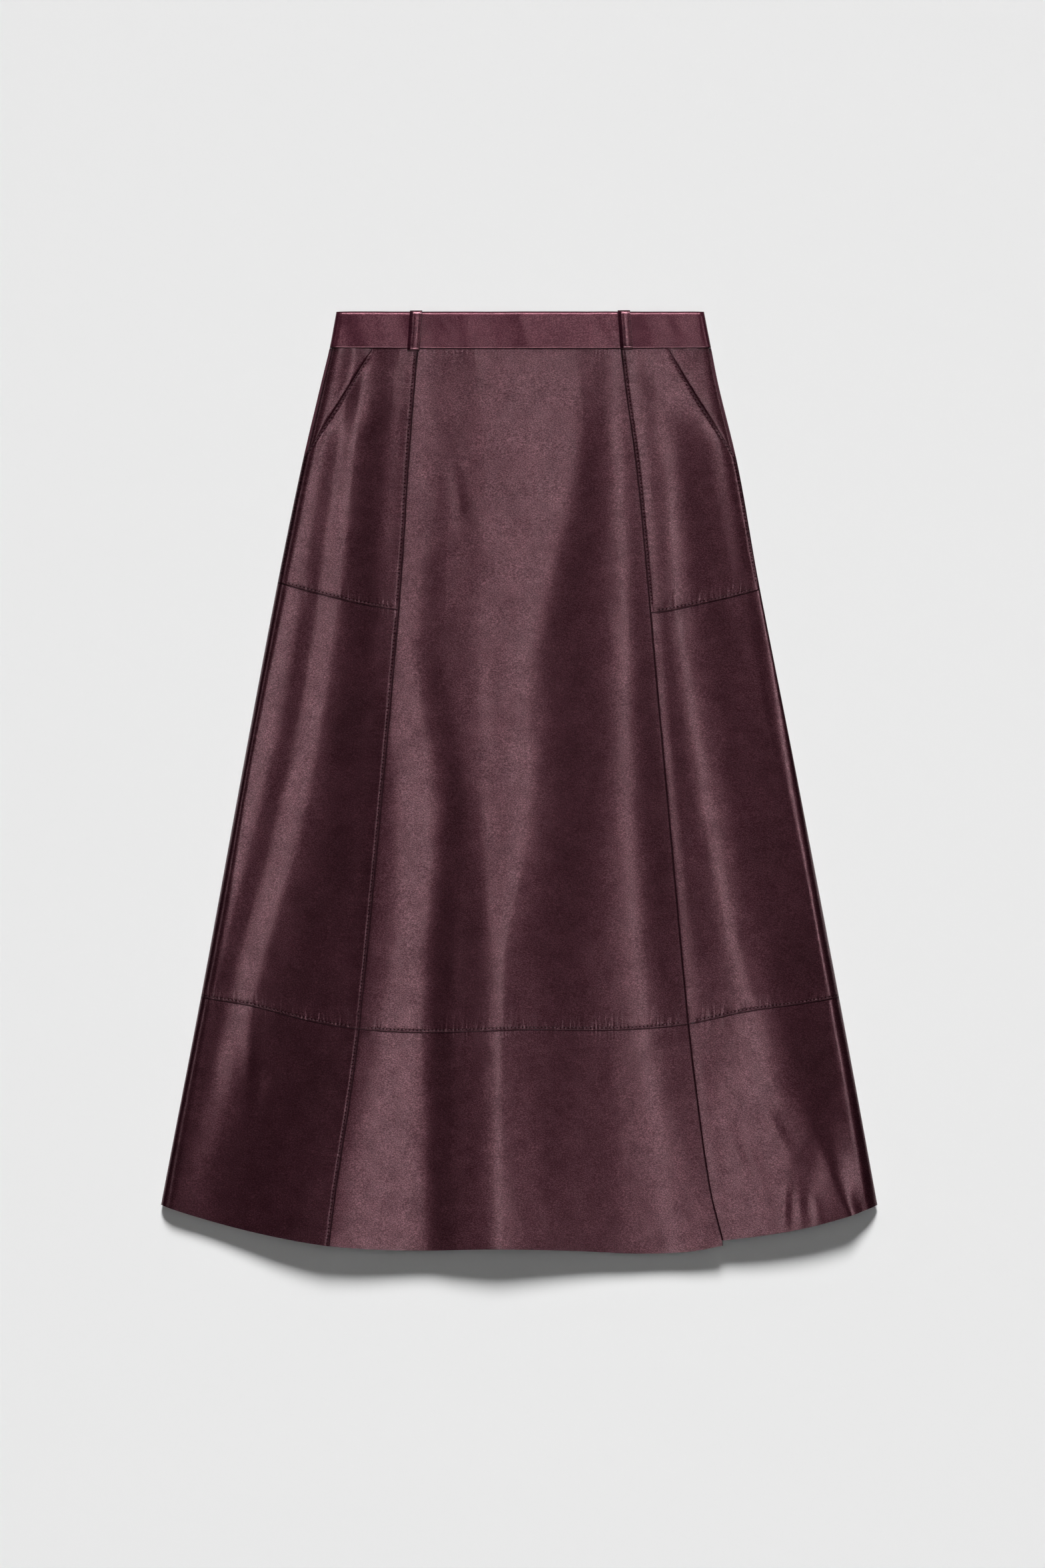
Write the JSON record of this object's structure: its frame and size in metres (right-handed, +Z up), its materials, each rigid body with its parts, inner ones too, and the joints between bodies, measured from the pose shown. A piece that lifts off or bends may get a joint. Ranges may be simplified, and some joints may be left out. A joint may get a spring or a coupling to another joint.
{
  "type": "leather skirt",
  "caption": "A-line leather skirt laid flat, front up: panelled front with slanting pocket mouths, hem band, waistband and belt loops.",
  "frame": {"origin": "on the surface that the skirt lies on, under the middle of its outline's bounding box", "axes": "+Y from hem to waist, +X to the right of someone who looks down at the front with the waist away from them, +Z up out of the front"},
  "size_m": [0.6658, 0.8752, 0.0215],
  "materials": {
    "leather": "satin, fine grain, dark burgundy",
    "pocket_leather": "satin, fine grain, dark burgundy"
  },
  "bodies": {
    "root": {"waistband_front": "leather", "waistband_back_left": "leather", "waistband_back_right": "leather", "front_centre_panel": "leather", "hip_panel_left": "leather", "hip_panel_right": "leather", "pocket_bearer_left": "pocket_leather", "pocket_bearer_right": "pocket_leather", "side_front_panel_left": "leather", "side_front_panel_right": "leather", "hem_band_front_left": "leather", "hem_band_front_centre": "leather", "hem_band_front_right": "leather", "back_panel_left": "leather", "back_panel_right": "leather", "hem_band_back_left": "leather", "hem_band_back_right": "leather", "belt_loop_left": "leather", "belt_loop_right": "leather"}
  },
  "joints": []
}
